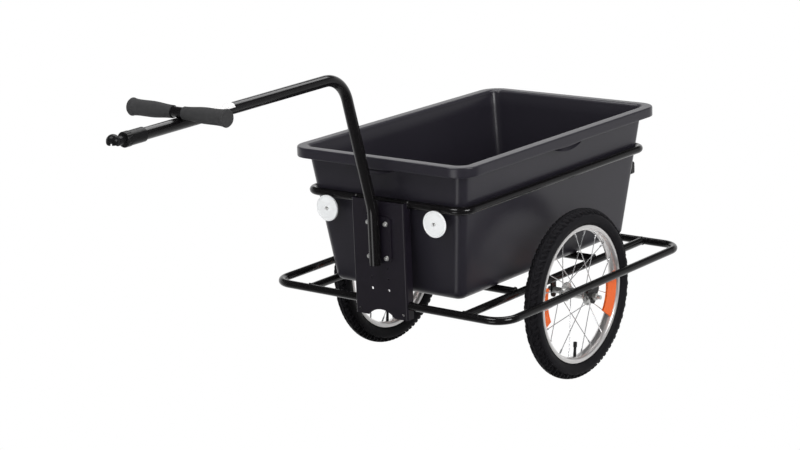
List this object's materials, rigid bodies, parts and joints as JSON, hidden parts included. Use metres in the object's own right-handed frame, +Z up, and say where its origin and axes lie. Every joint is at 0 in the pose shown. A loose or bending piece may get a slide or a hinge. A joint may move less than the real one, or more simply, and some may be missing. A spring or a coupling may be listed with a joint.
{
  "type": "bicycle trailer",
  "caption": "Bicycle trailer with a rectangular plastic tub in a tube frame, spoked wheels, bent drawbar, cross handle and coupling head, parked nose down on its front plate.",
  "frame": {"origin": "on the floor, in the middle of the parked trailer's length and width", "axes": "+X forward towards the hitch, +Y to the trailer's left along the axle, +Z up; the trailer itself leans nose down as it parks"},
  "size_m": [1.6154, 0.6956, 0.7265],
  "materials": {
    "tub_plastic": "charcoal moulded polyethylene, soft sheen",
    "frame_paint": "glossy black powder coat",
    "plate_paint": "satin black powder coat",
    "grip_foam": "dark grey foam rubber",
    "coupling_black": "glossy black coupling",
    "white_reflector": "white reflector",
    "red_reflector": "dark red reflector",
    "amber_reflector": "amber wheel reflector",
    "zinc_steel": "zinc-plated steel",
    "rim_alloy": "satin aluminium",
    "tyre_rubber": "black tyre rubber",
    "valve_black": "black rubber valve"
  },
  "bodies": {
    "frame": {"drawbar": "frame_paint", "drawbar_bracket": "plate_paint", "front_cross_tube": "frame_paint", "front_plate": "plate_paint", "handle_bar": "frame_paint", "hitch_collar": "coupling_black", "hitch_cup": "coupling_black", "hitch_sleeve": "coupling_black", "left_axle": "zinc_steel", "left_axle_nuts": "zinc_steel", "left_front_reflector": "white_reflector", "left_front_reflector_strap": "frame_paint", "left_grip": "grip_foam", "left_inner_dropout": "frame_paint", "left_outer_dropout": "frame_paint", "left_rail": "frame_paint", "left_rear_reflector": "red_reflector", "left_rear_reflector_strap": "frame_paint", "lower_loop": "frame_paint", "rear_cross_tube": "frame_paint", "rear_plate": "plate_paint", "right_axle": "zinc_steel", "right_axle_nuts": "zinc_steel", "right_front_reflector": "white_reflector", "right_front_reflector_strap": "frame_paint", "right_grip": "grip_foam", "right_inner_dropout": "frame_paint", "right_outer_dropout": "frame_paint", "right_rail": "frame_paint", "right_rear_reflector": "red_reflector", "right_rear_reflector_strap": "frame_paint", "tub": "tub_plastic", "tub_ring": "frame_paint"},
    "left_wheel": {"left_hub": "zinc_steel", "left_rim": "rim_alloy", "left_spokes": "zinc_steel", "left_tyre": "tyre_rubber", "left_valve": "valve_black", "left_wheel_reflectors": "amber_reflector"},
    "right_wheel": {"right_hub": "zinc_steel", "right_rim": "rim_alloy", "right_spokes": "zinc_steel", "right_tyre": "tyre_rubber", "right_valve": "valve_black", "right_wheel_reflectors": "amber_reflector"}
  },
  "joints": [
    {"name": "left_wheel_spin", "type": "hinge", "parent": "frame", "child": "left_wheel", "pos_m": [-0.46099, 0.28447, 0.1965], "axis": [0, 1, 0], "continuous": true},
    {"name": "right_wheel_spin", "type": "hinge", "parent": "frame", "child": "right_wheel", "pos_m": [-0.46099, -0.26077, 0.1965], "axis": [0, 1, 0], "continuous": true}
  ]
}
